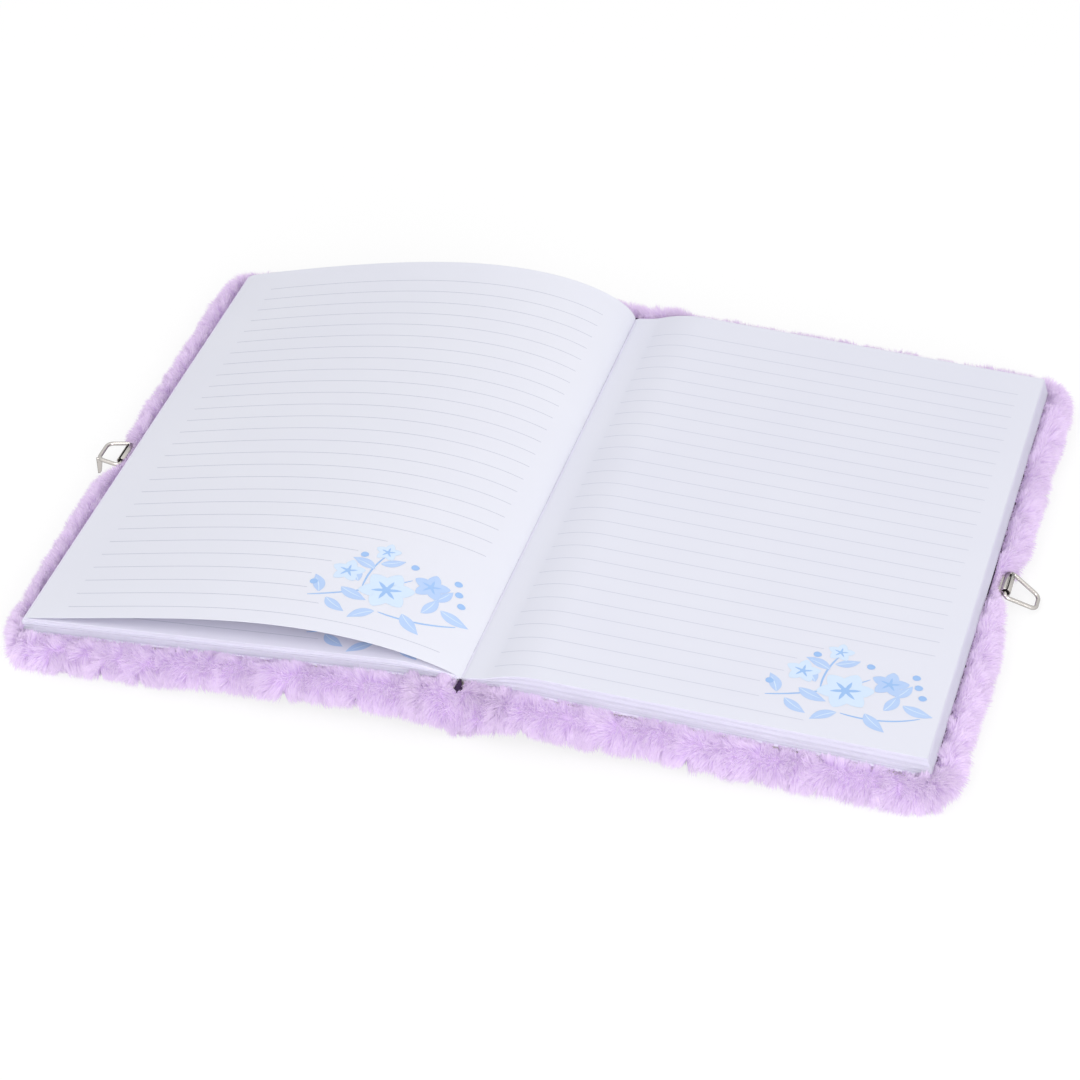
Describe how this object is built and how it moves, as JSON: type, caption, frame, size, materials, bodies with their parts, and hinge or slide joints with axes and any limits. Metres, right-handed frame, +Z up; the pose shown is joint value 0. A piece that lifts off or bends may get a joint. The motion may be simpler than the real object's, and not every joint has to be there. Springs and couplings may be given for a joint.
{
  "type": "plush notebook",
  "caption": "Case-bound ruled notebook with thick plush covers, shown open, with one leaf standing free and a wire loop for a small padlock at each fore edge.",
  "frame": {"origin": "centre of the footprint on the table, under the gutter", "axes": "+X runs across the open spread from the front cover to the back cover, +Y towards the head of the pages, +Z up"},
  "size_m": [0.3186, 0.232, 0.0306],
  "materials": {
    "plush": "long-pile lilac faux fur, matte",
    "board": "grey book board, unfinished",
    "paper": "smooth off-white writing paper, ruled",
    "endpaper": "pale lilac endpaper, uncoated",
    "lining": "open-weave cotton lining",
    "band": "dark plum woven band",
    "thread": "waxed white sewing thread",
    "wire": "nickel-plated steel, polished"
  },
  "bodies": {
    "spine": {"spine_plush": "plush", "spine_card": "board", "spine_lining": "lining", "folded_backs": "paper", "head_band": "band", "tail_band": "band", "sewing_thread": "thread"},
    "front_cover": {"front_cover_plush": "plush", "front_board": "board", "front_pastedown": "endpaper", "front_loop_clip": "wire"},
    "back_cover": {"back_cover_plush": "plush", "back_board": "board", "back_pastedown": "endpaper", "back_loop_clip": "wire"},
    "front_leaves": {"front_flyleaf": "endpaper", "front_gathering_1": "paper", "front_gathering_2": "paper", "front_gathering_3": "paper", "front_middle_half_gathering": "paper"},
    "back_leaves": {"back_flyleaf": "endpaper", "back_gathering_1": "paper", "back_gathering_2": "paper", "back_gathering_3": "paper", "back_gathering_4": "paper", "back_middle_half_gathering": "paper"},
    "free_leaf": {"free_leaf": "paper"},
    "front_loop": {"front_wire_loop": "wire"},
    "back_loop": {"back_wire_loop": "wire"}
  },
  "joints": [
    {"name": "front_cover_hinge", "type": "hinge", "parent": "spine", "child": "front_cover", "pos_m": [-0.00593, 0, 0.01525], "axis": [0, 1, 0], "range_deg": [0, 93.2], "deforming": ["free_leaf"]},
    {"name": "back_cover_hinge", "type": "hinge", "parent": "spine", "child": "back_cover", "pos_m": [0.00727, 0, 0.01525], "axis": [0, -1, 0], "range_deg": [0, 93.2]},
    {"name": "front_leaves_hinge", "type": "hinge", "parent": "spine", "child": "front_leaves", "pos_m": [-0.00499, 0, 0.0163], "axis": [0, 1, 0], "range_deg": [0, 93.2]},
    {"name": "back_leaves_hinge", "type": "hinge", "parent": "spine", "child": "back_leaves", "pos_m": [0.00633, 0, 0.0163], "axis": [0, -1, 0], "range_deg": [0, 93.2]},
    {"name": "free_leaf_turn", "type": "hinge", "parent": "front_leaves", "child": "free_leaf", "pos_m": [-0.0006, 0, 0.0194], "axis": [0, -1, 0], "range_deg": [-130, 0]},
    {"name": "front_loop_swing", "type": "hinge", "parent": "front_cover", "child": "front_loop", "pos_m": [-0.14883, -0.004, 0.00751], "axis": [0, -1, 0], "range_deg": [-120, 0]},
    {"name": "back_loop_swing", "type": "hinge", "parent": "back_cover", "child": "back_loop", "pos_m": [0.15033, -0.004, 0.0075], "axis": [0, 1, 0], "range_deg": [-120, 0]}
  ],
  "couplings": [
    {"joint": "front_leaves_hinge", "follows": "front_cover_hinge", "ratio": 1},
    {"joint": "back_leaves_hinge", "follows": "back_cover_hinge", "ratio": 1}
  ]
}
